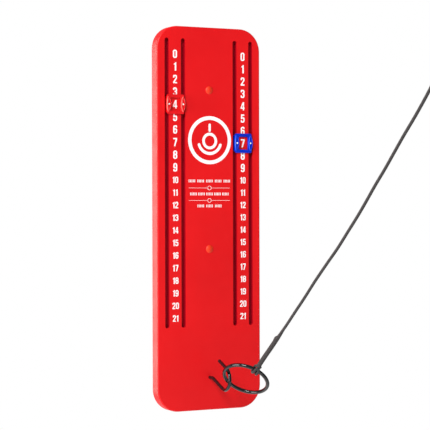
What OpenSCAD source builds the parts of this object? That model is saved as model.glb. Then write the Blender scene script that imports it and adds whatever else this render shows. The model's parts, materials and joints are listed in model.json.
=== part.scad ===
// Hook and ring game: wall board with a hook, two score sliders,
// and a ring on a cord that hangs from a ceiling eye.
// Millimetres. Origin: back face of the board, midway between its two wall screws.
// +X right, +Y into the wall, +Z up. The front of the board faces -Y.

/* [Board] */
// Width of the board
board_w = 138; // [130:1:150]
// Height of the board
board_h = 460; // [450:1:480]
// Thickness of the board
board_t = 16; // [14:0.5:20]
// Radius of the board's corners
corner_r = 27; // [20:1:32]
// Radius of the eased edges
edge_r = 1.5; // [0.5:0.25:2.5]
// Height of the screw pattern's middle above the board's bottom edge
pattern_h = 289; // [285:1:295]
// Distance between the two wall screws
screw_pitch = 191; // [180:1:200]

/* [Score columns] */
// Distance of each number column from the middle
column_x = 45.5; // [43:0.5:48]
// Distance of each groove from its column's middle
groove_off = 10.75; // [10.5:0.05:11]
// Width of a groove
groove_w = 5.8; // [5.6:0.1:6.2]
// Depth of a groove
groove_d = 5.6; // [5.4:0.1:6]
// Height of the number 0 above the origin
zero_z = 137.5; // [135:0.5:140]
// Distance between numbers
digit_pitch = 15; // [14.5:0.05:15]
// Number that the red slider shows
red_score = 4; // [0:1:21]
// Number that the blue slider shows
blue_score = 7; // [0:1:21]

/* [Sliders] */
// Height of a slider
slider_h = 23.5; // [22:0.5:24]
// Width of a slider's straight body
slider_w = 22.6; // [22:0.1:23]
// Width of the window
window_w = 12; // [11:0.5:13]
// Height of the window
window_h = 15.4; // [14:0.2:16]
// Highest point of the finger grips above the board
grip_h = 4.2; // [3.5:0.1:5]

/* [Hook] */
// Diameter of the hook's wire
hook_d = 4; // [3.5:0.1:4.4]
// Radius of the hook's bend at the wire's middle
hook_r = 13.4; // [13:0.1:14]
// Height of the hook's shank above the board's bottom edge
hook_h = 39; // [36:1:42]

/* [Ring] */
// Diameter of the ring's wire
ring_d = 4.4; // [4:0.1:4.6]
// Radius of the ring at the wire's middle
ring_r = 26.5; // [26:0.5:27]

/* [Cord] */
// Diameter of the cord
cord_d = 3.4; // [3:0.1:3.6]
// Diameter of the sleeve over the cord's spliced end
sleeve_d = 5.7; // [5:0.1:6]

/* [Hidden] */
$fn = 64;
tiny = 0.01;

face_y = -board_t;
bottom_z = -pattern_h;
groove_top = 156.5;
groove_bottom = -189;
undercut_w = 1.2;
undercut_h = 1.6;

screw_d = 4.2;
screw_neck_d = 3.4;
screw_hole_d = 4.8;
screw_out = 24;
screw_point = 4;
head_d = 8;
head_t = 3;
pocket_d = 8.8;
pocket_depth = 6.5;
cap_d = 9.5;
cap_rise = 1.7;
cap_skirt = 2;

plate_gap = 0.3;
plate_top = 1.8;
grip_arc_r = 30;
grip_half = 11.9;
grip_inner_r = 17;
grip_inner = 6.6;
grip_crest_r = 20;
leg_in = 8.1;
leg_len = 18.8;
leg_depth = 5.2;
foot_in = 7;
foot_t = 0.9;
corner_cut = 1.2;

hook_in = 12.7;
wire_lap = 0.3;
bend_thinning = 0.02;
shank_out = 6.4;
elbow_r = 8;
bend_out = 38.5;
bend_up = 2;
// The slope between the shank and the bend touches both of their arcs
bends_apart = [bend_out - shank_out, bend_up + elbow_r];
slope_deg = asin((elbow_r + hook_r) / norm(bends_apart)) - atan2(bends_apart[1], bends_apart[0]);
slope_len = sqrt(pow(norm(bends_apart), 2) - pow(elbow_r + hook_r, 2));
tip_deg = 22;
tip_len = 20.8;

ring_centre = [15, -79.5, -246.5];
ring_lean = 42.5;
ring_heading = 37.5;
hitch_deg = 226.5;
wrap_gap = 0.3;
wrap_off = 2.3;

sleeve_start = [16, -109, -229];
sleeve_step = [15.7, -153.5, -194];
sleeve_tip = [15.6, -168, -182.8];
sleeve_step_d = 5.1;
sleeve_tip_d = 3.8;
cord_route = [[16, -109, -229], [15.9, -124, -217], [15.8, -139, -205.5],
    [15.7, -153.5, -194], [15.6, -174, -178.5], [15.4, -194, -162.5],
    [15.3, -216.5, -144.5], [15.2, -238, -126.5], [15.1, -261.5, -108], [14.9, -286.5, -89],
    [14.8, -306.5, -72], [14.7, -326.5, -55], [14.6, -343.5, -39.5], [14.5, -360.5, -23.5],
    [14.4, -378, -8], [14.3, -395, 8], [14.2, -412, 24], [14.1, -430, 40], [14, -445, 54],
    [14, -459, 68], [14, -470, 79.5]];
knot_at = [14, -472, 81.5];
pull = [0, -0.73, 0.683];
knot_d = 10;
knot_len = 10;
loop_ahead = 10;
loop_r = 6.5;
loop_twist = -12;
eye_r = 8.5;
eye_d = 3.8;
eye_thread_d = 4.2;
eye_neck = 6;
eye_shank = 26;
eye_point = 4;

function unit(v) = v / norm(v);

// Stands its children's z axis along a direction, at a point
module aim(at, dir) {
    d = unit(dir);
    translate(at)
        rotate([0, acos(d[2]), atan2(d[1], d[0])])
            children();
}

module rod(a, b, d) {
    aim(a, b - a) cylinder(h = norm(b - a), d = d);
}

// Turns children drawn in x and y so that x stays and y becomes height
module upright() {
    rotate([90, 0, 0]) children();
}

module rounded_bar(w, t, r) {
    square([w - 2 * r, t], center = true);
    square([w, t - 2 * r], center = true);
    for (x = [-1, 1], y = [-1, 1])
        translate([x * (w / 2 - r), y * (t / 2 - r)]) circle(r);
}

// Half of a round disc's section, with eased rims, for turning
module disc_section(r, t, ease) {
    translate([0, -t / 2]) square([r - ease, t]);
    translate([0, ease - t / 2]) square([r, t - 2 * ease]);
    for (y = [-1, 1])
        translate([r - ease, y * (t / 2 - ease)]) circle(ease);
}

module slab() {
    flat_w = board_w - 2 * corner_r;
    flat_h = board_h - 2 * corner_r;
    linear_extrude(flat_h, center = true) rounded_bar(board_w, board_t, edge_r);
    rotate([0, 90, 0])
        linear_extrude(flat_w, center = true)
            rounded_bar(board_h, board_t, edge_r);
    for (x = [-1, 1], z = [-1, 1])
        translate([x * flat_w / 2, 0, z * flat_h / 2])
            upright() rotate_extrude($fn = 96) disc_section(corner_r, board_t, edge_r);
}

// A routed slot, seen from the front, between two heights
module slot_outline(w, low, high) {
    translate([-w / 2, low + w / 2]) square([w, high - low - w]);
    translate([0, low + w / 2]) circle(d = w);
    translate([0, high - w / 2]) circle(d = w);
}

// One groove: an open slot with an undercut towards the number column
module groove(side) {
    translate([0, face_y + groove_d, 0]) upright()
        linear_extrude(groove_d + 1) slot_outline(groove_w, groove_bottom, groove_top);
    translate([side * undercut_w, face_y + groove_d, 0]) upright()
        linear_extrude(undercut_h) slot_outline(groove_w, groove_bottom, groove_top);
}

module board() color("red")
    difference() {
        translate([0, -board_t / 2, bottom_z + board_h / 2]) slab();
        for (column = [-1, 1], side = [-1, 1])
            translate([column * column_x + side * groove_off, 0, 0]) groove(-side);
        for (z = [-1, 1])
            translate([0, 0, z * screw_pitch / 2]) {
                translate([0, 1, 0]) upright() cylinder(h = board_t + 2, d = screw_hole_d);
                translate([0, face_y + pocket_depth, 0])
                    upright() cylinder(h = pocket_depth + 1, d = pocket_d);
            }
        translate([0, face_y + hook_in + wire_lap, bottom_z + hook_h])
            upright() cylinder(h = hook_in + 1, d = hook_d);
    }

// Wall screw: head in the board's pocket, point out of its back
module wall_screw(z) {
    seat = face_y + pocket_depth;
    translate([0, 0, z]) {
        difference() {
            translate([0, seat, 0]) upright() cylinder(h = head_t, d = head_d);
            for (turn = [0, 90])
                translate([0, seat - head_t, 0]) rotate([0, turn, 0])
                    cube([5, 3, 1.1], center = true);
        }
        translate([0, tiny, 0]) upright() cylinder(h = tiny - seat, d = screw_neck_d);
        translate([0, screw_out, 0]) upright() cylinder(h = screw_out, d = screw_d);
        translate([0, screw_out + screw_point, 0])
            upright() cylinder(h = screw_point, d1 = 0.4, d2 = screw_d);
    }
}

module upper_wall_screw() color("silver") wall_screw(screw_pitch / 2);
module lower_wall_screw() color("silver") wall_screw(-screw_pitch / 2);

// Domed cap that plugs a screw's pocket
module screw_cap(z) {
    dome_r = (cap_d * cap_d / 4 + cap_rise * cap_rise) / (2 * cap_rise);
    translate([0, face_y, z]) {
        intersection() {
            translate([0, dome_r - cap_rise, 0]) sphere(dome_r, $fn = 96);
            upright() cylinder(h = cap_rise + 1, d = cap_d);
        }
        translate([0, cap_skirt, 0]) upright() cylinder(h = cap_skirt + tiny, d = pocket_d - 0.2);
    }
}

module upper_screw_cap() color("orangered") screw_cap(screw_pitch / 2);
module lower_screw_cap() color("orangered") screw_cap(-screw_pitch / 2);

module slider_outline() {
    intersection() {
        square([slider_w, slider_h], center = true);
        rotate(45) square((slider_w + slider_h) / sqrt(2) - corner_cut, center = true);
    }
}

// Pointed oval of a finger grip, on the side that x points to
module grip_outline() {
    intersection() {
        translate([grip_half - grip_arc_r, 0]) circle(grip_arc_r, $fn = 128);
        translate([grip_inner + grip_inner_r, 0]) circle(grip_inner_r, $fn = 96);
    }
}

module finger_grip() {
    intersection() {
        translate([0, -plate_gap, 0]) upright() linear_extrude(grip_h) grip_outline();
        translate([0, grip_crest_r - grip_h, 0]) rotate([0, 90, 0])
            cylinder(h = 3 * grip_half, r = grip_crest_r, center = true, $fn = 128);
    }
}

// Leg that reaches into a groove, with a foot that hooks under the number column
module slider_leg() {
    difference() {
        translate([foot_in, -plate_gap - tiny, -leg_len / 2])
            cube([slider_w / 2 - foot_in, leg_depth + plate_gap, leg_len]);
        translate([foot_in - 1, -plate_gap - 1, -leg_len / 2 - 1])
            cube([leg_in - foot_in + 1, leg_depth + 1 - foot_t + plate_gap, leg_len + 2]);
    }
}

module score_slider(x, score) {
    translate([x, face_y, zero_z - score * digit_pitch]) {
        translate([0, -plate_gap, 0]) upright()
            linear_extrude(plate_top - plate_gap)
                difference() {
                    slider_outline();
                    square([window_w, window_h], center = true);
                }
        for (side = [0, 1])
            mirror([side, 0, 0]) {
                finger_grip();
                slider_leg();
            }
    }
}

module red_score_slider() color("crimson") score_slider(-column_x, red_score);
module blue_score_slider() color("blue") score_slider(column_x, blue_score);

// A straight wire along x that laps a little into the bends, then its children at its far end
module straight_wire(len) {
    translate([-wire_lap, 0, 0]) rotate([0, 90, 0])
        cylinder(h = len + 2 * wire_lap, d = hook_d, $fn = 48);
    translate([len, 0, 0]) children();
}

// A wire that turns upwards (or down, if turn is negative), then its children at its far end
module wire_bend(r, turn) {
    up = sign(turn);
    translate([0, 0, up * r]) {
        rotate([90, 0, 0]) rotate([0, 0, up > 0 ? -90 : 90 + turn])
            rotate_extrude(angle = abs(turn), $fn = 96)
                translate([r, 0]) circle(d = hook_d - bend_thinning, $fn = 48);
        rotate([0, -turn, 0]) translate([0, 0, -up * r]) children();
    }
}

module hook() color([0.08, 0.08, 0.09])
    translate([0, face_y + hook_in, bottom_z + hook_h]) rotate([0, 0, -90])
        straight_wire(hook_in + shank_out)
            wire_bend(elbow_r, -slope_deg)
                straight_wire(slope_len)
                    wire_bend(hook_r, 180 + slope_deg - tip_deg)
                        straight_wire(tip_len);

// Places children in the ring's own frame: z is the ring's axis
module at_ring() {
    translate(ring_centre) rotate([0, ring_lean, ring_heading]) children();
}

module ring() color([0.1, 0.1, 0.11])
    at_ring() rotate_extrude($fn = 128) translate([ring_r, 0]) circle(d = ring_d, $fn = 32);

function turn_y(v, a) = [v[0] * cos(a) + v[2] * sin(a), v[1], v[2] * cos(a) - v[0] * sin(a)];
function turn_z(v, a) = [v[0] * cos(a) - v[1] * sin(a), v[0] * sin(a) + v[1] * cos(a), v[2]];
// A point given in the ring's hitch frame: outward, along the wire, along the ring's axis
function hitch_point(v) =
    ring_centre + turn_z(turn_y(turn_z(v + [ring_r, 0, 0], hitch_deg), ring_lean), ring_heading);

// Two turns of cord round the ring's wire, and the two legs that run into the sleeve
module cord_hitch() color([0.3, 0.28, 0.28]) {
    wrap_r = (ring_d + cord_d) / 2 + wrap_gap;
    for (side = [-1, 1]) {
        at_ring() rotate([0, 0, hitch_deg]) translate([ring_r, side * wrap_off, 0])
            rotate([90, 0, 0]) rotate_extrude($fn = 48)
                translate([wrap_r, 0]) circle(d = cord_d, $fn = 24);
        rod(hitch_point([wrap_r, side * wrap_off, 0]), sleeve_start, cord_d);
    }
}

module cord_sleeve() color([0.25, 0.23, 0.23]) {
    rod(sleeve_start, sleeve_step, sleeve_d);
    aim(sleeve_step, sleeve_tip - sleeve_step)
        translate([0, 0, -1])
            cylinder(h = norm(sleeve_tip - sleeve_step) + 1, d1 = sleeve_step_d, d2 = sleeve_tip_d);
}

// Tube swept along a route: rings of points square to the route, with closed ends
module swept_tube(route, d, sides) {
    last = len(route) - 1;
    function heading(i) = unit(route[min(i + 1, last)] - route[max(i - 1, 0)]);
    function across(i) = unit(cross(heading(i), [1, 0, 0]));
    function ring_points(i) = let (u = across(i), v = cross(heading(i), u))
        [for (k = [0:sides - 1])
            route[i] + d / 2 * (u * cos(360 * k / sides) + v * sin(360 * k / sides))];
    points = [for (i = [0:last]) each ring_points(i)];
    walls = [for (i = [0:last - 1], k = [0:sides - 1]) let (n = (k + 1) % sides)
        [i * sides + k, i * sides + n, (i + 1) * sides + n, (i + 1) * sides + k]];
    start_cap = [[for (k = [sides - 1:-1:0]) k]];
    end_cap = [[for (k = [0:sides - 1]) last * sides + k]];
    polyhedron(points, concat(walls, start_cap, end_cap));
}

// Cuts each stretch of the route in three
function finer(route) = [for (i = [0:len(route) - 2], k = [0:2])
    route[i] + (route[i + 1] - route[i]) * k / 3];

module cord() color([0.3, 0.28, 0.28])
    swept_tube(concat(finer(cord_route), [cord_route[len(cord_route) - 1]]), cord_d, 8);

module cord_top_knot() color([0.3, 0.28, 0.28])
    rod(knot_at - knot_len / 2 * pull, knot_at + knot_len / 2 * pull, knot_d);

// Places children at the middle of the cord's loop: z across the loop, x along the pull
module at_top_loop() {
    translate(knot_at + loop_ahead * pull)
        rotate([-atan2(pull[2], -pull[1]), 0, 0]) rotate([0, 0, -90]) children();
}

module cord_top_loop() color([0.3, 0.28, 0.28])
    at_top_loop() rotate([loop_twist, 0, 0])
        rotate_extrude($fn = 64) translate([loop_r, 0]) circle(d = cord_d, $fn = 24);

module ceiling_eye() color("silver") {
    wire_at = loop_r - cord_d / 2 - eye_d / 2 - 0.4;
    eye_centre = knot_at + (loop_ahead + wire_at + eye_r) * pull;
    translate(eye_centre) rotate([0, 90, 0])
        rotate_extrude($fn = 64) translate([eye_r, 0]) circle(d = eye_d, $fn = 24);
    translate(eye_centre + [0, 0, eye_r]) {
        cylinder(h = eye_neck + tiny, d = eye_d);
        translate([0, 0, eye_neck]) cylinder(h = eye_shank - eye_neck, d = eye_thread_d);
        translate([0, 0, eye_shank]) cylinder(h = eye_point, d1 = eye_thread_d, d2 = 0.4);
    }
}

board();
hook();
upper_wall_screw();
lower_wall_screw();
upper_screw_cap();
lower_screw_cap();
red_score_slider();
blue_score_slider();
ring();
cord_hitch();
cord_sleeve();
cord();
cord_top_knot();
cord_top_loop();
ceiling_eye();
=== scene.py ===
"""Looks of the hook and ring game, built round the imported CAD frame."""
import bpy
import bmesh
import json
import math
from mathutils import Matrix, Vector


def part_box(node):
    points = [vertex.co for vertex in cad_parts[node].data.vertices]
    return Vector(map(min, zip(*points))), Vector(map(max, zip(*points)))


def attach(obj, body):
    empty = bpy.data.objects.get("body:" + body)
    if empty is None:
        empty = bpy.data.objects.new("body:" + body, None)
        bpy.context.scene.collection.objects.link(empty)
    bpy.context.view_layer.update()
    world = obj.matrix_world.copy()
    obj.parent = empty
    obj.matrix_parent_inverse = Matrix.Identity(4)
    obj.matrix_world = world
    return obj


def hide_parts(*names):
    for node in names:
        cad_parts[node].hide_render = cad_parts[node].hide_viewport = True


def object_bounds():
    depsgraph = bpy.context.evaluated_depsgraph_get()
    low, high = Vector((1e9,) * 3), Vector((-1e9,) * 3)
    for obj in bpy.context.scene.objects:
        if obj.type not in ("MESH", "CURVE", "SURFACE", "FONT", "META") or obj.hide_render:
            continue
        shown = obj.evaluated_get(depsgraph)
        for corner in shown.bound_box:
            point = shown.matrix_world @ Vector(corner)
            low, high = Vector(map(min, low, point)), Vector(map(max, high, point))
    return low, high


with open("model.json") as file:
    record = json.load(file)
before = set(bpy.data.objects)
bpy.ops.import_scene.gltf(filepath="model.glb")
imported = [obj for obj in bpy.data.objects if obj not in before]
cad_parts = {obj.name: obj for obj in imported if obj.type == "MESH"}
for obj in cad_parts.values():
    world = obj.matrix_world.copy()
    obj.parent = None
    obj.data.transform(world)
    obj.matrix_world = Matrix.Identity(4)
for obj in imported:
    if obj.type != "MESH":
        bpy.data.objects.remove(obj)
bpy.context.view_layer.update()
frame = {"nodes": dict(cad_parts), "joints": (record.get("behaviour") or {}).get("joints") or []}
scene = bpy.context.scene
scene.view_settings.view_transform = "Standard"

MM = 0.001
X_AXIS = Vector((1, 0, 0))
Z_AXIS = Vector((0, 0, 1))


# ---------------------------------------------------------------- camera

CAMERA_PLACE = Vector((-0.8633, -1.7263, -0.0459))
CAMERA_YAW = math.radians(26.98)
CAMERA_PITCH = math.radians(-0.258)
CAMERA_ROLL = math.radians(-0.157)
CAMERA_LENS = 133.3


def make_camera():
    """The photograph's viewpoint."""
    data = bpy.data.cameras.new("camera")
    data.lens = CAMERA_LENS
    data.clip_start = 0.05
    data.clip_end = 50
    camera = bpy.data.objects.new("camera", data)
    scene.collection.objects.link(camera)
    turn = Matrix.Rotation(-CAMERA_YAW, 4, "Z")
    tilt = Matrix.Rotation(math.pi / 2 + CAMERA_PITCH, 4, "X")
    roll = Matrix.Rotation(CAMERA_ROLL, 4, "Z")
    camera.matrix_world = Matrix.Translation(CAMERA_PLACE) @ turn @ tilt @ roll
    scene.camera = camera


make_camera()


# ---------------------------------------------------------------- mesh helpers

def finish_mesh(name, mesh, material, body, smooth=True):
    """Links a mesh as a named piece that rides on a CAD body."""
    piece = bpy.data.objects.new(name, mesh)
    scene.collection.objects.link(piece)
    mesh.materials.append(material)
    mesh.polygons.foreach_set("use_smooth", [smooth] * len(mesh.polygons))
    mesh.update()
    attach(piece, body)
    return piece


def smooth_path(points, step):
    """A Catmull-Rom curve through the points, with a point about every step."""
    points = [Vector(p) for p in points]
    padded = [2 * points[0] - points[1]] + points + [2 * points[-1] - points[-2]]
    path = []
    for a, b, c, d in zip(padded, padded[1:], padded[2:], padded[3:]):
        count = max(1, round((c - b).length / step))
        for i in range(count):
            t = i / count
            path.append(0.5 * (2 * b + (c - a) * t + (2 * a - 5 * b + 4 * c - d) * t * t
                               + (3 * b - a - 3 * c + d) * t ** 3))
    path.append(points[-1])
    return path


def path_length(path):
    """Length of a list of points."""
    return sum((b - a).length for a, b in zip(path, path[1:]))


def carried_frames(path, closed=False):
    """For each point: the direction, and two directions across it that twist as little as possible."""
    last = len(path) - 1
    frames = []
    across = None
    for i in range(len(path)):
        before = path[i - 1] if i > 0 else (path[last] if closed else path[0])
        after = path[i + 1] if i < last else (path[0] if closed else path[last])
        along = (after - before).normalized()
        if across is None:
            across = along.orthogonal()
        across = (across - along * across.dot(along)).normalized()
        frames.append((along, across, along.cross(across)))
    return frames


def tube_faces(rings, sides, closed=False):
    """Quads between rings of vertices that follow each other."""
    faces = []
    for i in range(rings if closed else rings - 1):
        j = (i + 1) % rings
        for k in range(sides):
            n = (k + 1) % sides
            faces.append((i * sides + k, i * sides + n, j * sides + n, j * sides + k))
    return faces


def sweep(path, radius_at, sides, closed=False):
    """Mesh tube along a path; radius_at(distance, angle) gives its radius there."""
    frames = carried_frames(path, closed)
    spin = 0.0
    if closed:
        along, across, other = frames[0]
        last_across = frames[-1][1]
        moved = last_across - along * last_across.dot(along)
        spin = math.atan2(moved.dot(other), moved.dot(across))
    verts = []
    run = 0.0
    for i, point in enumerate(path):
        if i:
            run += (point - path[i - 1]).length
        along, across, other = frames[i]
        untwist = -spin * i / len(path)
        for k in range(sides):
            angle = 2 * math.pi * k / sides
            shown = angle + untwist
            r = radius_at(run, angle)
            verts.append(point + r * (math.cos(shown) * across + math.sin(shown) * other))
    rings = len(path)
    faces = tube_faces(rings, sides, closed)
    if not closed:
        faces.append(tuple(range(sides - 1, -1, -1)))
        faces.append(tuple((rings - 1) * sides + k for k in range(sides)))
    return verts, faces


def mesh_from(name, verts, faces):
    """A mesh of these vertices and faces."""
    mesh = bpy.data.meshes.new(name)
    mesh.from_pydata([tuple(v) for v in verts], [], faces)
    mesh.validate()
    mesh.update()
    return mesh


def joined(parts):
    """Joins (verts, faces) lists into one."""
    verts, faces = [], []
    for part_verts, part_faces in parts:
        start = len(verts)
        verts += list(part_verts)
        faces += [tuple(start + i for i in face) for face in part_faces]
    return verts, faces


def face_outward(mesh):
    """Turns every face of a closed mesh outward."""
    bm = bmesh.new()
    bm.from_mesh(mesh)
    bmesh.ops.recalc_face_normals(bm, faces=bm.faces)
    bm.to_mesh(mesh)
    bm.free()


def circle_points(centre, radius, side, up, count):
    """Points of a circle in the plane of side and up."""
    turns = (2 * math.pi * i / count for i in range(count))
    return [centre + radius * (math.cos(t) * side + math.sin(t) * up) for t in turns]


# ---------------------------------------------------------------- materials

class Nodes:
    """A material's node tree, built a node at a time."""

    def __init__(self, name):
        self.material = bpy.data.materials.new(name)
        self.material.use_nodes = True
        self.tree = self.material.node_tree
        self.shader = self.tree.nodes["Principled BSDF"]
        self.place = self.add("ShaderNodeTexCoord").outputs["Object"]

    def add(self, kind, **values):
        """A new node with these settings."""
        node = self.tree.nodes.new(kind)
        for key, value in values.items():
            setattr(node, key, value)
        return node

    def link(self, output, socket):
        """Joins an output to a socket."""
        self.tree.links.new(output, socket)

    def set(self, **values):
        """Sets the shader's constants; an underscore stands for a space."""
        for key, value in values.items():
            self.shader.inputs[key.replace("_", " ")].default_value = value

    def noise(self, scale, detail=4.0):
        """Noise over the object's own coordinates, in cells per metre."""
        node = self.add("ShaderNodeTexNoise")
        node.inputs["Scale"].default_value = scale
        node.inputs["Detail"].default_value = detail
        node.inputs["Roughness"].default_value = 0.55
        self.link(self.place, node.inputs["Vector"])
        return node.outputs["Fac"]

    def span(self, value, low, high, low_to, high_to):
        """Maps low..high on to low_to..high_to, held at both ends."""
        node = self.add("ShaderNodeMapRange")
        for key, number in (("From Min", low), ("From Max", high),
                            ("To Min", low_to), ("To Max", high_to)):
            node.inputs[key].default_value = number
        self.link(value, node.inputs["Value"])
        return node.outputs["Result"]

    def blend(self, factor, a, b):
        """Mixes two colours; each is a colour or another node's output."""
        node = self.add("ShaderNodeMix", data_type="RGBA")
        self.link(factor, node.inputs["Factor"])
        for socket, colour in ((node.inputs[6], a), (node.inputs[7], b)):
            if isinstance(colour, bpy.types.NodeSocket):
                self.link(colour, socket)
            else:
                socket.default_value = (*colour, 1)
        return node.outputs[2]

    def bump(self, height, strength, distance, under=None):
        """A bump from a height, over another bump if one is given."""
        node = self.add("ShaderNodeBump")
        node.inputs["Strength"].default_value = strength
        node.inputs["Distance"].default_value = distance
        self.link(height, node.inputs["Height"])
        if under:
            self.link(under, node.inputs["Normal"])
        return node.outputs["Normal"]

    def math(self, operation, a, b=None):
        """A math node; each operand is a number or another node's output."""
        node = self.add("ShaderNodeMath", operation=operation)
        for socket, value in zip(node.inputs, (a, b)):
            if isinstance(value, bpy.types.NodeSocket):
                self.link(value, socket)
            elif value is not None:
                socket.default_value = value
        return node.outputs[0]


# Where the grooves lie, and how deep they are, for the painted shade in the red lacquer
GROOVES_HALF_W = 62 * MM
GROOVES_HALF_H = 174 * MM
GROOVES_MIDDLE = -16 * MM
GROOVE_DEPTH = 5.6 * MM


def red_lacquer():
    """Sprayed red lacquer on fibreboard: faint orange peel, uneven gloss, and painted shade darkening the
    grooves.
    """
    n = Nodes("red_lacquer")
    cloud = n.noise(9, 3)
    colour = n.blend(n.span(cloud, 0.35, 0.65, 0, 1), (0.70, 0.0035, 0.0060), (0.77, 0.0050, 0.0075))
    split = n.add("ShaderNodeSeparateXYZ")
    n.link(n.place, split.inputs[0])
    x, y, z = split.outputs
    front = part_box("board")[0].y
    across = n.math("LESS_THAN", n.math("ABSOLUTE", x), GROOVES_HALF_W)
    along = n.math("LESS_THAN", n.math("ABSOLUTE", n.math("SUBTRACT", z, GROOVES_MIDDLE)), GROOVES_HALF_H)
    shallow = n.math("LESS_THAN", y, front + GROOVE_DEPTH + 0.4 * MM)
    # Painted shade in the grooves: the colour darkens quickly at the groove's edge, then slowly down to its
    # floor
    depth = n.math("ADD", n.span(y, front + 0.1 * MM, front + 0.4 * MM, 0, 0.6),
                   n.span(y, front + 0.6 * MM, front + GROOVE_DEPTH - 0.2 * MM, 0, 0.4))
    painted_groove_shade = n.math("MULTIPLY", n.math("MULTIPLY", across, along), n.math("MULTIPLY", shallow, depth))
    # The dark red blended in here is painted shade, standing in for the grooves' shadow
    n.link(n.blend(painted_groove_shade, colour, (0.40, 0.0010, 0.0130)), n.shader.inputs["Base Color"])
    n.link(n.span(n.noise(60), 0.3, 0.7, 0.36, 0.46), n.shader.inputs["Roughness"])
    peel = n.bump(n.noise(900, 2), 0.05, 0.10 * MM)
    n.link(n.bump(n.noise(140, 2), 0.04, 0.3 * MM, peel), n.shader.inputs["Normal"])
    n.set(IOR=1.46, Specular_IOR_Level=0.35)
    return n.material


def moulded(name, dark, light, roughness, rim=None, shine=0.5):
    """Glossy moulded plastic, a little scuffed, with a painted highlight that makes its raised rims paler."""
    n = Nodes(name)
    colour = n.blend(n.span(n.noise(45, 3), 0.35, 0.65, 0, 1), dark, light)
    # Painted highlight: the rim colour is laid on the grip rims where the rim attribute is high, broken up by
    # noise
    if rim:
        wear_and_painted_highlight = n.add("ShaderNodeAttribute", attribute_name="rim").outputs["Fac"]
        patches = n.span(n.noise(500, 3), 0.25, 0.6, 0.55, 0.95)
        colour = n.blend(n.math("MULTIPLY", wear_and_painted_highlight, patches), colour, rim)
    n.link(colour, n.shader.inputs["Base Color"])
    scuffs = n.span(n.noise(320, 5), 0.45, 0.75, roughness, roughness + 0.16)
    n.link(scuffs, n.shader.inputs["Roughness"])
    n.link(n.bump(n.noise(1600, 3), 0.12, 0.06 * MM), n.shader.inputs["Normal"])
    n.set(IOR=1.46, Specular_IOR_Level=shine)
    return n.material


def black_wire():
    """Black enamelled steel wire: glossy, with slightly worn, paler patches."""
    n = Nodes("black_steel")
    wear_and_painted_highlight = n.span(n.noise(110, 4), 0.55, 0.8, 0, 1)
    n.link(n.blend(wear_and_painted_highlight, (0.004, 0.004, 0.005), (0.012, 0.011, 0.012)), n.shader.inputs["Base Color"])
    n.link(n.span(n.noise(300, 3), 0.3, 0.75, 0.22, 0.30), n.shader.inputs["Roughness"])
    n.link(n.bump(n.noise(700, 2), 0.02, 0.03 * MM), n.shader.inputs["Normal"])
    n.set(IOR=1.4, Specular_IOR_Level=0.10, Coat_Weight=0.7, Coat_IOR=1.55, Coat_Roughness=0.08)
    return n.material


def zinc_steel():
    """Bright zinc plate with a grained, slightly cloudy finish."""
    n = Nodes("zinc_steel")
    cloud = n.span(n.noise(220, 5), 0.35, 0.7, 0, 1)
    n.link(n.blend(cloud, (0.52, 0.52, 0.54), (0.68, 0.68, 0.67)), n.shader.inputs["Base Color"])
    n.link(n.span(n.noise(600, 4), 0.3, 0.7, 0.24, 0.42), n.shader.inputs["Roughness"])
    n.link(n.bump(n.noise(2500, 3), 0.15, 0.04 * MM), n.shader.inputs["Normal"])
    n.set(Metallic=1.0)
    return n.material


def braid_yarn(name, dark, light):
    """Polyester yarn: fine fibres with a little sheen, over strands that are modelled."""
    n = Nodes(name)
    flecks = n.span(n.noise(1400, 3), 0.35, 0.68, 0, 1)
    n.link(n.blend(flecks, dark, light), n.shader.inputs["Base Color"])
    n.link(n.span(n.noise(700, 3), 0.3, 0.7, 0.6, 0.85), n.shader.inputs["Roughness"])
    n.link(n.bump(n.noise(4200, 4), 0.5, 0.09 * MM), n.shader.inputs["Normal"])
    n.set(Sheen_Weight=0.12, Sheen_Roughness=0.45, Specular_IOR_Level=0.3)
    return n.material


def white_ink():
    """Screen-printed ink: matt white with a faint mottle."""
    n = Nodes("white_ink")
    colour = n.blend(n.span(n.noise(260, 4), 0.3, 0.7, 0, 1), (0.90, 0.90, 0.90), (0.97, 0.97, 0.965))
    n.link(colour, n.shader.inputs["Base Color"])
    n.link(n.span(n.noise(800, 3), 0.3, 0.7, 0.42, 0.6), n.shader.inputs["Roughness"])
    n.link(n.bump(n.noise(1800, 2), 0.08, 0.05 * MM), n.shader.inputs["Normal"])
    return n.material


RED_PAINT = red_lacquer()
# In each slider plastic, the colour after the roughness is a painted highlight laid on its grip rims
RED_PLASTIC = moulded("red_plastic", (0.68, 0.0030, 0.0060), (0.76, 0.0050, 0.0085), 0.16, (0.95, 0.16, 0.13))
BLUE_PLASTIC = moulded("blue_plastic", (0.0, 0.018, 0.44), (0.0, 0.028, 0.54), 0.16, (0.03, 0.12, 0.85), 0.28)
CAP_PLASTIC = moulded("cap_plastic", (0.73, 0.025, 0.001), (0.79, 0.035, 0.002), 0.5)
BLACK_STEEL = black_wire()
ZINC_STEEL = zinc_steel()
CORD_YARN = braid_yarn("cord_braid", (0.020, 0.017, 0.017), (0.040, 0.035, 0.035))
SLEEVE_YARN = braid_yarn("sleeve_braid", (0.016, 0.013, 0.013), (0.042, 0.036, 0.036))
WHITE_INK = white_ink()


def paint_node(node, material):
    """Gives a CAD node that stays in view its finished material."""
    mesh = frame["nodes"][node].data
    mesh.materials.clear()
    mesh.materials.append(material)


paint_node("board", RED_PAINT)
paint_node("upper_screw_cap", CAP_PLASTIC)
paint_node("lower_screw_cap", CAP_PLASTIC)


# ---------------------------------------------------------------- ring's place

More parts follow.
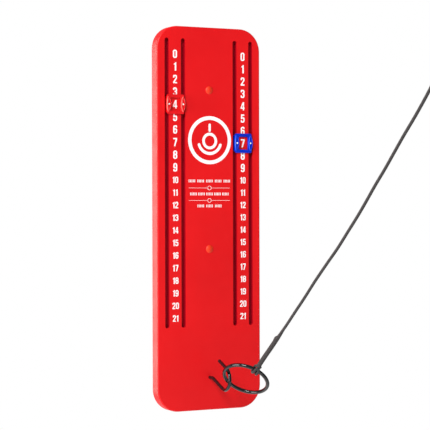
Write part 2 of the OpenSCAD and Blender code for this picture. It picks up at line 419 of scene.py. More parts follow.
JOINTS = {joint["name"]: joint for joint in frame["joints"]}
RING_CENTRE = Vector(JOINTS["ring_turn"]["pos_m"])
RING_RADIUS = 26.5 * MM
RING_WIRE = 2.2 * MM
RING_HEADING = math.radians(37.5)
RING_LEAN = math.radians(42.5)
RING_TURN = Matrix.Rotation(RING_HEADING, 3, "Z") @ Matrix.Rotation(RING_LEAN, 3, "Y")
HITCH_ANGLE = math.radians(226.5)
RING_SIDE = RING_TURN @ X_AXIS
RING_UP = RING_TURN @ Vector((0, 1, 0))
RING_AXIS = RING_TURN @ Z_AXIS
HITCH_OUT = math.cos(HITCH_ANGLE) * RING_SIDE + math.sin(HITCH_ANGLE) * RING_UP
HITCH_ALONG = RING_AXIS.cross(HITCH_OUT)
HITCH_AT = RING_CENTRE + RING_RADIUS * HITCH_OUT


# ---------------------------------------------------------------- cord

CORD_RADIUS = 1.7 * MM
SLEEVE_RADIUS = 2.85 * MM
CORD_STEP = 0.35 * MM
CORD_STRANDS = 8
CORD_LAY = 12 * MM
CORD_SIDES = 40
CORD_ROUTE = [(0.016, -0.109, -0.229), (0.0159, -0.124, -0.217), (0.0158, -0.139, -0.2055),
              (0.0157, -0.1535, -0.194), (0.0156, -0.174, -0.1785), (0.0154, -0.194, -0.1625),
              (0.0153, -0.2165, -0.1445), (0.0152, -0.238, -0.1265), (0.0151, -0.2615, -0.108),
              (0.0149, -0.2865, -0.089), (0.0148, -0.3065, -0.072), (0.0147, -0.3265, -0.055),
              (0.0146, -0.3435, -0.0395), (0.0145, -0.3605, -0.0235), (0.0144, -0.378, -0.008),
              (0.0143, -0.395, 0.008), (0.0142, -0.412, 0.024), (0.0141, -0.430, 0.040),
              (0.014, -0.445, 0.054), (0.014, -0.459, 0.068), (0.014, -0.470, 0.0795)]
SLEEVE_TIP = Vector((0.0156, -0.168, -0.1828))
KNOT_AT = Vector((0.014, -0.472, 0.0815))
PULL = Vector((0, -0.73, 0.683))


def braid(radius, strands, lay, depth=0.12):
    """Radius of a round braid: strands wind both ways and pass over and under each other."""
    def radius_at(run, angle):
        one_way = strands * (angle / (2 * math.pi) + run / lay)
        other_way = strands * (angle / (2 * math.pi) - run / lay)
        a = one_way - math.floor(one_way) - 0.5
        b = other_way - math.floor(other_way) - 0.5
        crown_a = math.sqrt(max(0.0, 1 - 3.6 * a * a))
        crown_b = math.sqrt(max(0.0, 1 - 3.6 * b * b))
        if (math.floor(one_way) + math.floor(other_way)) % 2:
            crown_a, crown_b, a, b = crown_b, crown_a, b, a
        over = crown_a * (0.6 + 0.4 * math.cos(math.pi * b))
        under = crown_b * 0.6 * (1 - 0.4 * math.cos(math.pi * a))
        return radius * (1 - depth * (1 - max(over, under)))
    return radius_at


CORD_WEAVE = braid(CORD_RADIUS, CORD_STRANDS, CORD_LAY)


def rope_piece(name, path, radius_at, sides, material, closed=False):
    """A braided piece along a path; it rides with the cord."""
    verts, faces = sweep(path, radius_at, sides, closed)
    return finish_mesh(name, mesh_from(name, verts, faces), material, "hanging_cord")


def make_hitch():
    """The cord's end looped round the ring as a cow hitch: two turns with the bight between them."""
    half = [(8.4, 1.0, 0.6), (6.6, 1.5, 1.7), (4.3, 2.1, 2.9), (1.4, 2.5, 4.1), (-1.8, 2.6, 3.8),
            (-3.9, 2.6, 1.7), (-4.1, 2.5, -1.1), (-2.6, 2.4, -3.4), (0.4, 2.3, -4.2), (3.2, 2.1, -3.2),
            (5.0, 1.3, -1.7)]
    spots = half + [(5.6, 0, -1.2)] + [(out, -along, up) for out, along, up in reversed(half)]
    points = [HITCH_AT + MM * (out * HITCH_OUT + along * HITCH_ALONG + up * RING_AXIS)
              for out, along, up in spots]
    path = smooth_path(points, CORD_STEP)
    piece = rope_piece("hitch", path, CORD_WEAVE, CORD_SIDES, CORD_YARN)
    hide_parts("cord_hitch")
    return piece


SLEEVE_STEP = 0.4 * MM
SLEEVE_SIDES = 60
SLEEVE_STRANDS = 12
SLEEVE_LAY = 16 * MM
SLEEVE_RELIEF = 0.15
SLEEVE_START = 0.62
SLEEVE_EASE = 3.2 * MM
SLEEVE_TAPER = 0.33
TAIL_TOWARD = Vector((-0.713, 0.363, 0.6))
TAIL_SWELL = 0.17
TAIL_HOLLOW = 0.30
TAIL_LENGTH = 7 * MM
TAIL_DROP = 0.22


def make_sleeve():
    """The spliced end: full width up to a cut tail on one side, then tapering on to the cord."""
    path = smooth_path(CORD_ROUTE[:4] + [SLEEVE_TIP], SLEEVE_STEP)
    length = path_length(path)
    cut = path_length(smooth_path(CORD_ROUTE[:4], SLEEVE_STEP))
    weave = braid(SLEEVE_RADIUS, SLEEVE_STRANDS, SLEEVE_LAY, SLEEVE_RELIEF)
    across, other = carried_frames(path)[0][1:]
    tail_angle = math.atan2(TAIL_TOWARD.dot(other), TAIL_TOWARD.dot(across))

    def radius_at(run, angle):
        """Rounded at its start, swollen beside the cut tail, hollow behind it, then tapered."""
        eased = math.sin(min(1.0, (run + SLEEVE_EASE / 2) / SLEEVE_EASE) * math.pi / 2)
        full = weave(run, angle) * (SLEEVE_START + (1 - SLEEVE_START) * eased)
        past = (run - cut) / (length - cut)
        facing = max(0.0, math.cos(angle - tail_angle))
        if past <= 0:
            near = max(0.0, 1 + (run - cut) / TAIL_LENGTH)
            return full * (1 + TAIL_SWELL * facing * near * near * (3 - 2 * near))
        drop = min(1.0, past / TAIL_DROP)
        side = 1 + TAIL_SWELL * facing * (1 - drop) - TAIL_HOLLOW * facing * drop
        return full * side * (1 - SLEEVE_TAPER * past)

    piece = rope_piece("sleeve", path, radius_at, SLEEVE_SIDES, SLEEVE_YARN)
    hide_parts("cord_sleeve")
    return piece


KNOT_TURNS = 3
KNOT_RISE = 3.35 * MM
KNOT_LAP = 1.9 * CORD_RADIUS


def make_knot():
    """Three tight turns of the cord's tail round the cord, below the top loop."""
    across = X_AXIS
    other = PULL.cross(across)
    count = KNOT_TURNS * 40
    path = []
    for i in range(count + 1):
        angle = 2 * math.pi * KNOT_TURNS * i / count
        along = (i / count - 0.5) * KNOT_TURNS * KNOT_RISE
        outward = math.cos(angle) * across + math.sin(angle) * other
        path.append(KNOT_AT + along * PULL + KNOT_LAP * outward)
    piece = rope_piece("top_knot", path, CORD_WEAVE, CORD_SIDES, CORD_YARN)
    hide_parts("cord_top_knot")
    return piece


LOOP_RADIUS = 6.5 * MM
LOOP_TWIST = math.radians(-12)
LOOP_RISE = 10 * MM
LOOP_AT = KNOT_AT + LOOP_RISE * PULL
LOOP_LAY = 12.76 * MM
LOOP_PLAY = 0.4 * MM


def make_top_loop():
    """The cord's eye that passes through the ceiling eye."""
    across = math.cos(LOOP_TWIST) * X_AXIS + math.sin(LOOP_TWIST) * PULL.cross(X_AXIS)
    path = circle_points(LOOP_AT, LOOP_RADIUS, PULL, across, 116)
    weave = braid(CORD_RADIUS, CORD_STRANDS, LOOP_LAY)
    piece = rope_piece("top_loop", path, weave, CORD_SIDES, CORD_YARN, closed=True)
    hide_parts("cord_top_loop")
    return piece


EYE_RADIUS = 8.5 * MM
EYE_WIRE = 1.9 * MM
EYE_NECK = 6 * MM
EYE_CORE = 1.45 * MM
EYE_POINT = 4.5 * MM
EYE_STEP = 0.16 * MM
EYE_AT = LOOP_AT + (LOOP_RADIUS - CORD_RADIUS - EYE_WIRE - LOOP_PLAY + EYE_RADIUS) * PULL
THREAD_CREST = 2.1 * MM
THREAD_PITCH = 1.9 * MM


def threaded(core, start, end):
    """Radius of a wood-screw thread that starts and ends along a rod."""
    def radius_at(run, angle):
        if not start < run < end:
            return core
        turn = (run / THREAD_PITCH - angle / (2 * math.pi)) % 1
        ridge = max(0.0, 1 - abs(turn - 0.5) / 0.28)
        fade = min(1.0, (run - start) / THREAD_PITCH, (end - run) / THREAD_PITCH)
        return core + (THREAD_CREST - core) * ridge * fade
    return radius_at


def pointed(radius_at, length, point):
    """The same rod, tapered to a point at its far end."""
    def tapered(run, angle):
        left = (length - run) / point
        return radius_at(run, angle) * (1.0 if left > 1 else max(0.08, left))
    return tapered


def make_ceiling_eye():
    """Bent eye of zinc-plated wire on a threaded shank."""
    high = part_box("ceiling_eye")[1]
    ring_path = circle_points(EYE_AT, EYE_RADIUS, Vector((0, 1, 0)), Z_AXIS, 96)
    eye = sweep(ring_path, lambda run, angle: EYE_WIRE, 28, closed=True)
    top = EYE_AT + EYE_RADIUS * Z_AXIS
    length = high.z - top.z
    count = round(length / EYE_STEP)
    rod_path = [top + Z_AXIS * length * i / count for i in range(count + 1)]
    thread = threaded(EYE_CORE, EYE_NECK, length - 0.5 * MM)

    def shank(run, angle):
        return EYE_WIRE if run < EYE_NECK else thread(run, angle)

    rod = sweep(rod_path, pointed(shank, length, EYE_POINT), 36)
    mesh = mesh_from("ceiling_eye_visual", *joined([eye, rod]))
    piece = finish_mesh("ceiling_eye_visual", mesh, ZINC_STEEL, "root")
    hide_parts("ceiling_eye")
    return piece


def make_cord(with_pieces):
    """The braided cord, held taut between the ring's hitch and the ceiling eye."""
    path = smooth_path(CORD_ROUTE, CORD_STEP)
    piece = rope_piece("cord_visual", path, CORD_WEAVE, CORD_SIDES, CORD_YARN)
    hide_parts("cord")


make_cord([make_hitch(), make_sleeve(), make_knot(), make_top_loop(), make_ceiling_eye()])


# ---------------------------------------------------------------- ring and hook

WELD_SWELL = 0.012
WELD_SPREAD = 0.05


def make_ring():
    """The steel ring, caught on the hook."""
    path = circle_points(RING_CENTRE, RING_RADIUS, RING_SIDE, RING_UP, 192)

    def radius_at(run, angle):
        """Round wire with the faint swell of the butt weld opposite the hitch."""
        turn = run / RING_RADIUS - (HITCH_ANGLE - math.pi)
        return RING_WIRE * (1 + WELD_SWELL * math.exp(-(turn / WELD_SPREAD) ** 2))

    verts, faces = sweep(path, radius_at, 40, closed=True)
    piece = finish_mesh("ring_visual", mesh_from("ring_visual", verts, faces), BLACK_STEEL, "game_ring")
    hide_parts("ring")


HOOK_WIRE = 2 * MM
HOOK_BEND = 13.4 * MM
ELBOW_BEND = 8 * MM
HOOK_IN = 12.7 * MM
SHANK_OUT = 6.4 * MM
BEND_OUT = 38.5 * MM
BEND_RISE = 2 * MM
BEND_AHEAD = BEND_OUT - SHANK_OUT
BEND_ABOVE = BEND_RISE + ELBOW_BEND
TIP_SLOPE = math.radians(22)
TIP_LENGTH = 20.8 * MM


def hook_path():
    """The wire's middle line as (out, up) from where it meets the face; it starts inside the board."""
    apart = math.hypot(BEND_AHEAD, BEND_ABOVE)
    bends = ELBOW_BEND + HOOK_BEND
    slope = math.asin(bends / apart) - math.atan2(BEND_ABOVE, BEND_AHEAD)
    slope_length = math.sqrt(apart * apart - bends * bends)
    step = 0.5 * MM
    out, up, heading = -HOOK_IN, 0.0, 0.0
    points = [(out, up)]
    for length, turn in ((HOOK_IN + SHANK_OUT, 0), (ELBOW_BEND * slope, -slope), (slope_length, 0),
                         (HOOK_BEND * (math.pi + slope - TIP_SLOPE), math.pi + slope - TIP_SLOPE),
                         (TIP_LENGTH, 0)):
        count = max(1, round(length / step))
        for _ in range(count):
            heading += turn / count / 2
            out += length / count * math.cos(heading)
            up += length / count * math.sin(heading)
            heading += turn / count / 2
            points.append((out, up))
    return points


def make_hook():
    """The screw hook, bent from one wire in the board's middle plane."""
    low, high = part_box("hook")
    face_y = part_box("board")[0].y
    middle_x = (low.x + high.x) / 2
    shank_z = low.z + HOOK_WIRE + HOOK_BEND - BEND_RISE
    path = [Vector((middle_x, face_y - out, shank_z + up)) for out, up in hook_path()]
    length = path_length(path)

    def radius_at(run, angle):
        """Round wire with a small broken edge at the cut tip."""
        left = (length - run) / (0.5 * MM)
        return HOOK_WIRE * (1.0 if left > 1 else 0.86 + 0.14 * left)

    verts, faces = sweep(path, radius_at, 36)
    piece = finish_mesh("hook_visual", mesh_from("hook_visual", verts, faces), BLACK_STEEL, "root")
    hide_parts("hook")


make_ring()
make_hook()


# ---------------------------------------------------------------- flat printed shapes

FACE_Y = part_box("board")[0].y
PRINT_THICKNESS = 0.06
COLUMN_X = 45.5
ZERO_HEIGHT = 137.5
DIGIT_PITCH = 15
LAST_NUMBER = 21


STRAIGHT_HALF_ANGLE = 1.55
CORNER_STEP = 0.2


def rounded_corners(corners):
    """Outline through corners given as (x, y, radius), each corner eased by its radius."""
    outline = []
    count = len(corners)
    for i, (x, y, radius) in enumerate(corners):
        here = Vector((x, y))
        back = Vector(corners[i - 1][:2]) - here
        ahead = Vector(corners[(i + 1) % count][:2]) - here
        half_angle = back.angle(ahead) / 2
        if radius <= 0 or half_angle > STRAIGHT_HALF_ANGLE:
            outline.append((x, y))
            continue
        reach = min(radius / math.tan(half_angle), back.length * 0.5, ahead.length * 0.5)
        start = here + back.normalized() * reach
        end = here + ahead.normalized() * reach
        radius = reach * math.tan(half_angle)
        centre = here + (back.normalized() + ahead.normalized()).normalized() * radius / math.sin(half_angle)
        a = start - centre
        turn = a.angle_signed(end - centre)
        steps = max(3, round(abs(turn) / CORNER_STEP))
        for k in range(steps + 1):
            part = -turn * k / steps
            outline.append((centre.x + a.x * math.cos(part) - a.y * math.sin(part),
                            centre.y + a.x * math.sin(part) + a.y * math.cos(part)))
    return outline


def circle_outline(x, y, radius, count=96):
    """Points of a circle."""
    angles = (2 * math.pi * i / count for i in range(count))
    return [(x + radius * math.cos(t), y + radius * math.sin(t)) for t in angles]


def box_outline(x, y, width, height, radius=0.0):
    """Corners of a box about its middle, eased by a radius."""
    return rounded_corners([(x - width / 2, y - height / 2, radius), (x + width / 2, y - height / 2, radius),
                            (x + width / 2, y + height / 2, radius), (x - width / 2, y + height / 2, radius)])


def arc_points(x, y, radius, start, end, count=32):
    """Points of an arc between two angles in degrees."""
    angles = (math.radians(start + (end - start) * i / count) for i in range(count + 1))
    return [(x + radius * math.cos(t), y + radius * math.sin(t)) for t in angles]


def stroke_outline(points, width):
    """Outline of an even stroke with round ends, drawn along points."""
    points = [Vector(p) for p in points]
    last = len(points) - 1
    left, right = [], []
    for i, point in enumerate(points):
        along = (points[min(i + 1, last)] - points[max(i - 1, 0)]).normalized()
        across = Vector((-along.y, along.x)) * width / 2
        left.append(point + across)
        right.append(point - across)
    outline = left[:]
    for end, edge in ((points[last], left[last]), (points[0], right[0])):
        if end is points[0]:
            outline += reversed(right)
        a = edge - end
        for k in range(1, 8):
            t = -math.pi * k / 8
            turned = (a.x * math.cos(t) - a.y * math.sin(t), a.x * math.sin(t) + a.y * math.cos(t))
            outline.append(end + Vector(turned))
    return [(p[0], p[1]) for p in outline]


def filled(name, outlines, thickness, bevel=0.0):
    """Mesh of filled outlines, centred on z = 0, its rims eased by a bevel; holes follow their outline."""
    curve = bpy.data.curves.new(name, "CURVE")
    curve.dimensions = "2D"
    curve.fill_mode = "BOTH"
    curve.extrude = thickness / 2 - bevel
    curve.bevel_depth = bevel
    curve.bevel_resolution = 3
    curve.offset = -bevel
    for outline in outlines:
        spline = curve.splines.new("POLY")
        spline.points.add(len(outline) - 1)
        for point, (x, y) in zip(spline.points, outline):
            point.co = (x, y, 0, 1)
        spline.use_cyclic_u = True
    drawn = bpy.data.objects.new(name + "_outline", curve)
    scene.collection.objects.link(drawn)
    bpy.context.view_layer.update()
    mesh = bpy.data.meshes.new_from_object(drawn.evaluated_get(bpy.context.evaluated_depsgraph_get()))
    bpy.data.objects.remove(drawn)
    return mesh


def printed(name, outlines):
    """Filled shapes, drawn in millimetres as seen from the front, raised a hair off the board."""
    mesh = filled(name, outlines, PRINT_THICKNESS)
    mesh.name = name
    mesh.materials.clear()
    for vertex in mesh.vertices:
        x, z, out = vertex.co
        vertex.co = (x * MM, FACE_Y - (out + PRINT_THICKNESS / 2) * MM, z * MM)
    piece = finish_mesh(name, mesh, WHITE_INK, "root", smooth=False)


DIGIT_WIDTH = 5.3
DIGIT_HEIGHT = 10
NARROW_ONE = 3.9
DIGIT_GAP = 0.7
TWO_DIGIT_SCALE = 0.77
# Outlines of each digit as (x, y, corner radius), a hole after the outline that it is in
SIX = [[(0.05, 0, 2.3), (5.25, 0, 2.3), (5.25, 6.3, 1.9), (1.8, 6.3, 0.3), (1.8, 8.5, 0.75), (3.5, 8.5, 0.75),
        (3.5, 7.3, 0), (5.2, 7.3, 0), (5.2, 10, 2.3), (0.05, 10, 2.3)],
       [(1.8, 1.5, 0.75), (3.5, 1.5, 0.75), (3.5, 4.85, 0.7), (1.8, 4.85, 0.7)]]
DIGITS = {
    "0": [[(0, 0, 2.3), (5.3, 0, 2.3), (5.3, 10, 2.3), (0, 10, 2.3)],
          [(1.8, 1.5, 0.8), (3.5, 1.5, 0.8), (3.5, 8.5, 0.8), (1.8, 8.5, 0.8)]],
    "1": [[(1.7, 0, 0), (3.6, 0, 0), (3.6, 10, 0), (2.3, 10, 0), (1.9, 9.0, 0.4), (0.5, 8.5, 0),
           (0.5, 7.1, 0), (1.7, 7.1, 0)]],
    "2": [[(0.1, 0, 0), (5.2, 0, 0), (5.2, 1.6, 0), (2.2, 1.6, 0.1), (5.25, 6.0, 1.3), (5.25, 10, 2.4),
           (0.15, 10, 2.4), (0.15, 6.8, 0), (1.85, 6.8, 0), (1.85, 8.5, 0.75), (3.5, 8.5, 0.75),
           (3.5, 6.4, 0.9), (0.1, 1.6, 0.5)]],
    "3": [[(0.1, 3.1, 0), (0.1, 0, 2.3), (5.25, 0, 2.3), (5.25, 4.8, 0.8), (4.5, 5.2, 0.15), (5.25, 5.6, 0.8),
           (5.25, 10, 2.3), (0.1, 10, 2.3), (0.1, 7.0, 0), (1.8, 7.0, 0), (1.8, 8.5, 0.75), (3.5, 8.5, 0.75),
           (3.5, 5.95, 0.6), (2.1, 5.95, 0), (2.1, 4.5, 0), (3.5, 4.5, 0.6), (3.5, 1.5, 0.75),
           (1.8, 1.5, 0.75), (1.8, 3.1, 0)]],
    "4": [[(2.95, 0, 0), (4.6, 0, 0), (4.6, 1.9, 0), (5.4, 1.9, 0), (5.4, 3.4, 0), (4.6, 3.4, 0),
           (4.6, 10, 0), (2.75, 10, 0), (-0.1, 3.4, 0), (-0.1, 1.9, 0), (2.95, 1.9, 0)],
          [(1.4, 3.4, 0), (2.95, 3.4, 0), (2.95, 7.3, 0)]],
    "5": [[(0.1, 3.0, 0), (0.1, 0, 2.3), (5.25, 0, 2.3), (5.25, 6.5, 1.9), (2.0, 6.5, 0.2), (2.05, 8.4, 0),
           (4.9, 8.4, 0), (4.9, 10, 0), (0.5, 10, 0), (0.2, 4.4, 0), (1.8, 4.4, 0.1), (1.8, 5.1, 0.4),
           (3.5, 5.1, 0.7), (3.5, 1.5, 0.75), (1.8, 1.5, 0.75), (1.8, 3.0, 0)]],
    "6": SIX,
    "7": [[(0.9, 0, 0), (2.75, 0, 0), (5.2, 8.3, 0.8), (5.2, 10, 0), (0.1, 10, 0), (0.1, 8.35, 0),
           (3.3, 8.35, 0.1)]],
    "8": [[(0, 0, 2.2), (5.3, 0, 2.2), (5.3, 4.9, 0.9), (4.6, 5.2, 0.15), (5.2, 5.5, 0.8), (5.2, 10, 2.2),
           (0.1, 10, 2.2), (0.1, 5.5, 0.8), (0.7, 5.2, 0.15), (0, 4.9, 0.9)],
          [(1.8, 1.45, 0.75), (3.5, 1.45, 0.75), (3.5, 4.45, 0.7), (1.8, 4.45, 0.7)],
          [(1.85, 5.95, 0.7), (3.45, 5.95, 0.7), (3.45, 8.55, 0.7), (1.85, 8.55, 0.7)]],
    "9": [[(DIGIT_WIDTH - x, DIGIT_HEIGHT - y, radius) for x, y, radius in outline] for outline in SIX],
}


def number_outlines(number, x, z):
    """Outlines of a number centred on (x, z)."""
    text = str(number)
    scale = TWO_DIGIT_SCALE if len(text) == 2 else 1.0
    widths = [NARROW_ONE if c == "1" else DIGIT_WIDTH for c in text]
    left = -(sum(widths) + DIGIT_GAP * (len(text) - 1)) / 2
    outlines = []
    for character, width in zip(text, widths):
        for outline in DIGITS[character]:
            outlines.append([(x + scale * (left + px), z + scale * (py - DIGIT_HEIGHT / 2))
                             for px, py in rounded_corners(outline)])
        left += width + DIGIT_GAP
    return outlines


def make_numbers():
    """The two columns of scale numbers, 0 to 21."""
    for side, name in ((-1, "red_column_numbers"), (1, "blue_column_numbers")):
        outlines = []
        for number in range(LAST_NUMBER + 1):
            outlines += number_outlines(number, side * COLUMN_X, ZERO_HEIGHT - DIGIT_PITCH * number)
        printed(name, outlines)


BADGE_X, BADGE_Z = 0.5, 35.5
BADGE_OUTER, BADGE_INNER = 28.9, 24.4
# Rows of tally strokes as (height, groups, gap between groups)
TALLY_ROWS = ((-13.6, 5, 3.2), (-29.2, 5, 2.2), (-43.6, 3, 3.2))
RULED_LINES = (-22, -37)


def make_badge():
    """A ring with a plain picture inside it: a small ring on its cord, above the curve of a hook."""
    x, z = BADGE_X, BADGE_Z
    printed("badge_ring", [circle_outline(x, z, BADGE_OUTER, 160), circle_outline(x, z, BADGE_INNER, 160)])
    printed("badge_cord", [stroke_outline([(x, z + 18.5), (x, z + 11.5)], 3)])
    printed("badge_hung_ring", [circle_outline(x, z - 1, 10), circle_outline(x, z - 1, 6.6)])
    printed("badge_hook", [stroke_outline(arc_points(x, z - 1, 15, 198, 342, 60), 3.6)])


def tally_row(z, groups, gap):
    """Groups of five short upright strokes, centred across the board."""
    pitch, stroke, height = 1.9, 0.95, 3.3
    group_width = 4 * pitch + stroke
    left = -(groups * group_width + (groups - 1) * gap) / 2
    return [box_outline(left + group * (group_width + gap) + stroke / 2 + k * pitch, z, stroke, height)
            for group in range(groups) for k in range(5)]


def make_rule_panel():
    """Three rows of tally strokes with two ruled lines between them."""
    strokes = []
    for z, groups, gap in TALLY_ROWS:
        strokes += tally_row(z, groups, gap)
    printed("tally_rows", strokes)
    lines = []
    for z in RULED_LINES:
        for side in (-1, 1):
            lines.append(box_outline(side * 15.3, z, 24.6, 0.32))
        lines.append(circle_outline(0, z, 2.6, 40))
        lines.append(circle_outline(0, z, 2.15, 40))
    printed("ruled_lines", lines)


make_numbers()
make_badge()
make_rule_panel()


# ---------------------------------------------------------------- score sliders

SLIDER_HALF_W = 11.3
SLIDER_HALF_H = 11.75
WINDOW_HALF_W = 6.0
WINDOW_HALF_H = 7.7
PLATE_LOW, PLATE_TOP = 0.3, 1.8
PLATE_CUT = 1.2
PLATE_BEVEL = 0.22
GRIP_TOP = 4.2
GRIP_REACH = 9.65
GRIP_OUTER_R, GRIP_OUTER_X = 30.0, 11.9
GRIP_INNER_R, GRIP_INNER_X = 17.0, 6.6
GRIP_CREST_R = 20.0
GRIP_RIM = 0.5
GRIP_LIP = 0.7
GRIP_DISH = 1.3
GRIP_FOOT = PLATE_LOW + 0.4
DISH_REACH = GRIP_REACH - 1.2
DISH_FLOOR = PLATE_TOP - 0.4
LEG_INNER_X = 8.1
LEG_HALF_LENGTH = 9.4
LEG_LOW = -5.2
LEG_TOP = PLATE_LOW + 0.3
FOOT_INNER_X = LEG_INNER_X - 1.1
FOOT_OUTER_X = LEG_INNER_X + 0.2
FOOT_TOP = -4.3
DOT_X = 9.2
DOT_SEAT = GRIP_TOP - 0.55


def grip_edges(z):
    """Inner and outer edge of a finger grip at a height on the slider, as distances from its middle."""
    left = GRIP_INNER_X + GRIP_INNER_R - math.sqrt(GRIP_INNER_R ** 2 - z ** 2)
    right = GRIP_OUTER_X - GRIP_OUTER_R + math.sqrt(GRIP_OUTER_R ** 2 - z ** 2)
    return left, right


def grip_shell():
    """One finger grip: a pointed oval with a raised rim and a shallow dish, crest at its middle."""
    rows, across = 96, 36
    verts, faces = [], []
    for i in range(rows + 1):
        z = -GRIP_REACH + 2 * GRIP_REACH * i / rows
        left, right = grip_edges(z)
        if right < left:
            right = left = (right + left) / 2
        crest = GRIP_TOP - GRIP_CREST_R + math.sqrt(GRIP_CREST_R ** 2 - z ** 2)
        width = right - left
        for k in range(across + 1):
            t = k / across
            edge = min(t, 1 - t) * width
            rim = min(1.0, edge / GRIP_RIM)
            top = PLATE_TOP + (crest - PLATE_TOP) * (0.5 + 0.5 * math.sqrt(max(0.0, 1 - (1 - rim) ** 2)))
            inward = max(0.0, min(1.0, (edge - GRIP_LIP) / GRIP_LIP))
            fade = max(0.0, 1 - (z / DISH_REACH) ** 2)
            dish = GRIP_DISH * (inward * inward * (3 - 2 * inward)) * fade
            verts.append(Vector((left + t * width, z, max(DISH_FLOOR, top - dish))))
    row = across + 1
    for i in range(rows):
        for k in range(across):
            a = i * row + k
            faces.append((a, a + 1, a + row + 1, a + row))
    base = len(verts)
    rim = ([i * row for i in range(rows, -1, -1)] + list(range(1, across))
           + [i * row + across for i in range(rows + 1)] + [rows * row + k for k in range(across - 1, 0, -1)])
    for index in rim:
        verts.append(Vector((verts[index].x, verts[index].y, GRIP_FOOT)))
    for i, index in enumerate(rim):
        j = (i + 1) % len(rim)
        faces.append((index, base + i, base + j, rim[j]))
    return verts, faces


def box_solid(x0, x1, y0, y1, z0, z1):
    """A box between two corners."""
    verts = [Vector((x, y, z)) for z in (z0, z1) for x, y in ((x0, y0), (x1, y0), (x1, y1), (x0, y1))]
    faces = [(3, 2, 1, 0), (4, 5, 6, 7), (0, 1, 5, 4), (1, 2, 6, 5), (2, 3, 7, 6), (3, 0, 4, 7)]
    return verts, faces


def mirrored(part):
    """A part's mirror image on the other side of x = 0."""
    verts, faces = part
    return [Vector((-v.x, v.y, v.z)) for v in verts], [tuple(reversed(face)) for face in faces]


def slider_parts():
    """Plate, grips and legs of a slider, drawn in x, y (up) and height above the board."""
    half_w, half_h, cut = SLIDER_HALF_W, SLIDER_HALF_H, PLATE_CUT
    corners = [(-half_w, -half_h + cut), (-half_w + cut, -half_h), (half_w - cut, -half_h),
               (half_w, -half_h + cut), (half_w, half_h - cut), (half_w - cut, half_h),
               (-half_w + cut, half_h), (-half_w, half_h - cut)]
    plate = rounded_corners([(x, y, 0.4) for x, y in corners])
    window = box_outline(0, 0, 2 * WINDOW_HALF_W, 2 * WINDOW_HALF_H, 0.5)
    mesh = filled("slider_plate", [plate, window], PLATE_TOP - PLATE_LOW, PLATE_BEVEL)
    middle = (PLATE_LOW + PLATE_TOP) / 2
    parts = [([Vector((v.co.x, v.co.y, v.co.z + middle)) for v in mesh.vertices],
              [tuple(face.vertices) for face in mesh.polygons])]
    bpy.data.meshes.remove(mesh)
    reach = LEG_HALF_LENGTH
    leg = box_solid(LEG_INNER_X, half_w, -reach, reach, LEG_LOW, LEG_TOP)
    foot = box_solid(FOOT_INNER_X, FOOT_OUTER_X, -reach, reach, LEG_LOW, FOOT_TOP)
    half = [grip_shell(), leg, foot]
    return parts + half + [mirrored(part) for part in half]


def rim_amount(x, z, height):
    """Strength of the painted highlight: 1 on the raised rim of a finger grip, falling to 0 away from it;
    weak on the left grip's inner edge, which faces away from the light.
    """
    if height < PLATE_TOP + 0.15 or abs(z) > GRIP_REACH - 0.05:
        return 0.0
    left, right = grip_edges(z)
    outer, inner = right - abs(x), abs(x) - left
    wear_and_painted_highlight = 0.25 if x < 0 and inner < outer else 1.0
    return wear_and_painted_highlight * max(0.0, min(1.0, 1.6 - min(outer, inner) / GRIP_RIM))


def make_slider(name, body, side, score, material):
    """One moulding on a number column, its rims marked with the strength of a painted highlight for the
    material.
    """
    verts, faces = joined(slider_parts())
    centre_x, centre_z = side * COLUMN_X, ZERO_HEIGHT - DIGIT_PITCH * score
    placed = [Vector(((centre_x + v.x) * MM, FACE_Y - v.z * MM, (centre_z + v.y) * MM)) for v in verts]
    mesh = mesh_from(name, placed, faces)
    face_outward(mesh)
    # The rim attribute carries the strength of the painted highlight on the grip rims
    rims = mesh.attributes.new("rim", "FLOAT", "POINT")
    rims.data.foreach_set("value", [rim_amount(v.co.x / MM - centre_x, v.co.z / MM - centre_z,
                                               (FACE_Y - v.co.y) / MM) for v in mesh.vertices])
    piece = finish_mesh(name, mesh, material, body)
    mesh.set_sharp_from_angle(angle=math.radians(40))
    return piece


def make_dots(name, body, side, score):
    """A white dot pressed into the middle of each finger grip."""
    profile = [(1.0, -0.6), (1.0, 0.02), (0.93, 0.14), (0.75, 0.22), (0.4, 0.27)]
    sides = 32
    parts = []
    centre_x, centre_z = side * COLUMN_X, ZERO_HEIGHT - DIGIT_PITCH * score
    for grip_side in (-1, 1):
        x = centre_x + grip_side * DOT_X
        verts = []
        for radius, height in profile:
            for k in range(sides):
                t = 2 * math.pi * k / sides
                verts.append(Vector((x + radius * math.cos(t), DOT_SEAT + height,
                                     centre_z + radius * math.sin(t))))
        faces = tube_faces(len(profile), sides)
        faces.append(tuple((len(profile) - 1) * sides + k for k in range(sides)))
        faces.append(tuple(range(sides - 1, -1, -1)))
        parts.append((verts, faces))
    verts, faces = joined(parts)
    placed = [Vector((v.x * MM, FACE_Y - v.y * MM, v.z * MM)) for v in verts]
    mesh = mesh_from(name, placed, faces)
    face_outward(mesh)
    piece = finish_mesh(name, mesh, WHITE_INK, body)


def make_sliders():
    """The red slider on its 4 and the blue one on its 7."""
    for name, node, body, side, score, material, slot in (
            ("red_slider_visual", "red_score_slider", "red_slider", -1, 4, RED_PLASTIC, "red_plastic"),
            ("blue_slider_visual", "blue_score_slider", "blue_slider", 1, 7, BLUE_PLASTIC, "blue_plastic")):
        piece = make_slider(name, body, side, score, material)
        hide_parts(node)
        make_dots(body + "_dots", body, side, score)


make_sliders()


# ---------------------------------------------------------------- wall screws

HEAD_RADIUS = 4.0
HEAD_HEIGHT = 3.0
HEAD_EASE = 0.8
RECESS_DEPTH = 1.45
RECESS_HALF_WIDTH = 0.75
RECESS_REACH = 2.6


